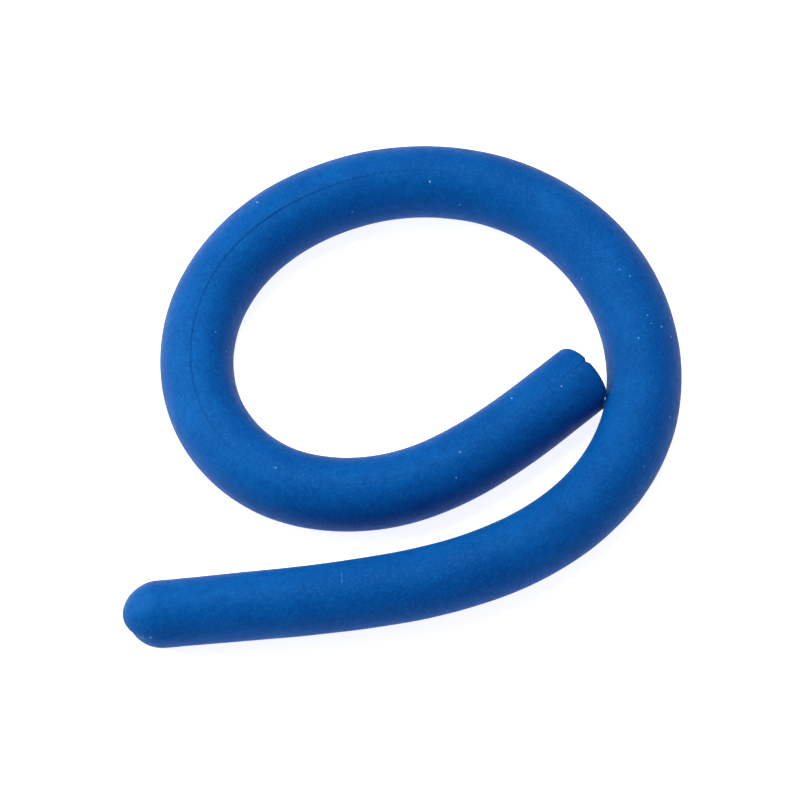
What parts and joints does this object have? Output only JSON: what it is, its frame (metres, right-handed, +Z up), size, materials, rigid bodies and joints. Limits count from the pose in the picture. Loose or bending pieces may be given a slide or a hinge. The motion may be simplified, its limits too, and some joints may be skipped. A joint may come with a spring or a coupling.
{
  "type": "bendable rod",
  "caption": "Soft moulded rod over a bendable core wire, curled into an open loop, with a domed outer end and a square-cut inner end; it bends and holds its shape along its whole length.",
  "frame": {"origin": "on the surface the rod lies on, under the middle of its own box", "axes": "+Z up out of the loop's plane; +Y from the straight outer strand across the loop to its far side; +X to the right along the straight strand, away from the outer end"},
  "size_m": [0.074, 0.0782, 0.0097],
  "materials": {
    "sleeve": "matte blue soft moulded elastomer with a fine parting line",
    "core_wire": "dull grey annealed steel wire"
  },
  "bodies": {
    "stretch_01": {"sleeve_01": "sleeve", "core_wire_01": "core_wire"},
    "stretch_02": {"sleeve_02": "sleeve", "core_wire_02": "core_wire"},
    "stretch_03": {"sleeve_03": "sleeve", "core_wire_03": "core_wire"},
    "stretch_04": {"sleeve_04": "sleeve", "core_wire_04": "core_wire"},
    "stretch_05": {"sleeve_05": "sleeve", "core_wire_05": "core_wire"},
    "stretch_06": {"sleeve_06": "sleeve", "core_wire_06": "core_wire"},
    "stretch_07": {"sleeve_07": "sleeve", "core_wire_07": "core_wire"},
    "stretch_08": {"sleeve_08": "sleeve", "core_wire_08": "core_wire"},
    "stretch_09": {"sleeve_09": "sleeve", "core_wire_09": "core_wire"},
    "stretch_10": {"sleeve_10": "sleeve", "core_wire_10": "core_wire"},
    "stretch_11": {"sleeve_11": "sleeve", "core_wire_11": "core_wire"},
    "stretch_12": {"sleeve_12": "sleeve", "core_wire_12": "core_wire"},
    "stretch_13": {"sleeve_13": "sleeve", "core_wire_13": "core_wire"},
    "stretch_14": {"sleeve_14": "sleeve", "core_wire_14": "core_wire"},
    "stretch_15": {"sleeve_15": "sleeve", "core_wire_15": "core_wire"},
    "stretch_16": {"sleeve_16": "sleeve", "core_wire_16": "core_wire"}
  },
  "joints": [
    {"name": "lift_01", "type": "hinge", "parent": "stretch_02", "child": "stretch_01", "pos_m": [-0.02114, -0.0336, 0.00443], "axis": [-0.0976, 0.9952, 0], "range_deg": [0, 35]},
    {"name": "bend_02", "type": "hinge", "parent": "stretch_03", "child": "stretch_02", "pos_m": [-0.00536, -0.03164, 0.00451], "axis": [0, 0, 1], "range_deg": [-15, 30]},
    {"name": "lift_03", "type": "hinge", "parent": "stretch_04", "child": "stretch_03", "pos_m": [0.00999, -0.02764, 0.0046], "axis": [-0.3518, 0.9361, 0], "range_deg": [0, 35]},
    {"name": "bend_04", "type": "hinge", "parent": "stretch_05", "child": "stretch_04", "pos_m": [0.02329, -0.01913, 0.00468], "axis": [0, 0, 1], "range_deg": [-4, 30]},
    {"name": "lift_05", "type": "hinge", "parent": "stretch_06", "child": "stretch_05", "pos_m": [0.03112, -0.00552, 0.00477], "axis": [-0.9686, 0.2487, 0], "range_deg": [0, 30]},
    {"name": "bend_06", "type": "hinge", "parent": "stretch_07", "child": "stretch_06", "pos_m": [0.03151, 0.01024, 0.00485], "axis": [0, 0, 1], "range_deg": [0, 30]},
    {"name": "lift_07", "type": "hinge", "parent": "stretch_08", "child": "stretch_07", "pos_m": [0.02447, 0.0243, 0.00485], "axis": [-0.7478, -0.6639, 0], "range_deg": [0, 30]},
    {"name": "bend_08", "type": "hinge", "parent": "stretch_09", "child": "stretch_08", "pos_m": [0.01128, 0.03283, 0.00485], "axis": [0, 0, 1], "range_deg": [0, 30]},
    {"name": "bend_09", "type": "hinge", "parent": "stretch_09", "child": "stretch_10", "pos_m": [-0.00443, 0.03349, 0.00485], "axis": [0, 0, -1], "range_deg": [0, 30]},
    {"name": "lift_10", "type": "hinge", "parent": "stretch_10", "child": "stretch_11", "pos_m": [-0.01836, 0.02621, 0.00485], "axis": [-0.6769, 0.7361, 0], "range_deg": [0, 12]},
    {"name": "bend_11", "type": "hinge", "parent": "stretch_11", "child": "stretch_12", "pos_m": [-0.0269, 0.013, 0.00485], "axis": [0, 0, -1], "range_deg": [0, 10]},
    {"name": "lift_12", "type": "hinge", "parent": "stretch_12", "child": "stretch_13", "pos_m": [-0.02701, -0.00264, 0.00485], "axis": [-0.9532, -0.3024, 0], "range_deg": [0, 30]},
    {"name": "bend_13", "type": "hinge", "parent": "stretch_13", "child": "stretch_14", "pos_m": [-0.01712, -0.01459, 0.00485], "axis": [0, 0, -1], "range_deg": [-35, 0]},
    {"name": "lift_14", "type": "hinge", "parent": "stretch_14", "child": "stretch_15", "pos_m": [-0.00171, -0.01619, 0.00485], "axis": [0.2857, -0.9583, 0], "range_deg": [0, 35]},
    {"name": "bend_15", "type": "hinge", "parent": "stretch_15", "child": "stretch_16", "pos_m": [0.01215, -0.00863, 0.00485], "axis": [0, 0, -1], "range_deg": [-35, 0]}
  ]
}
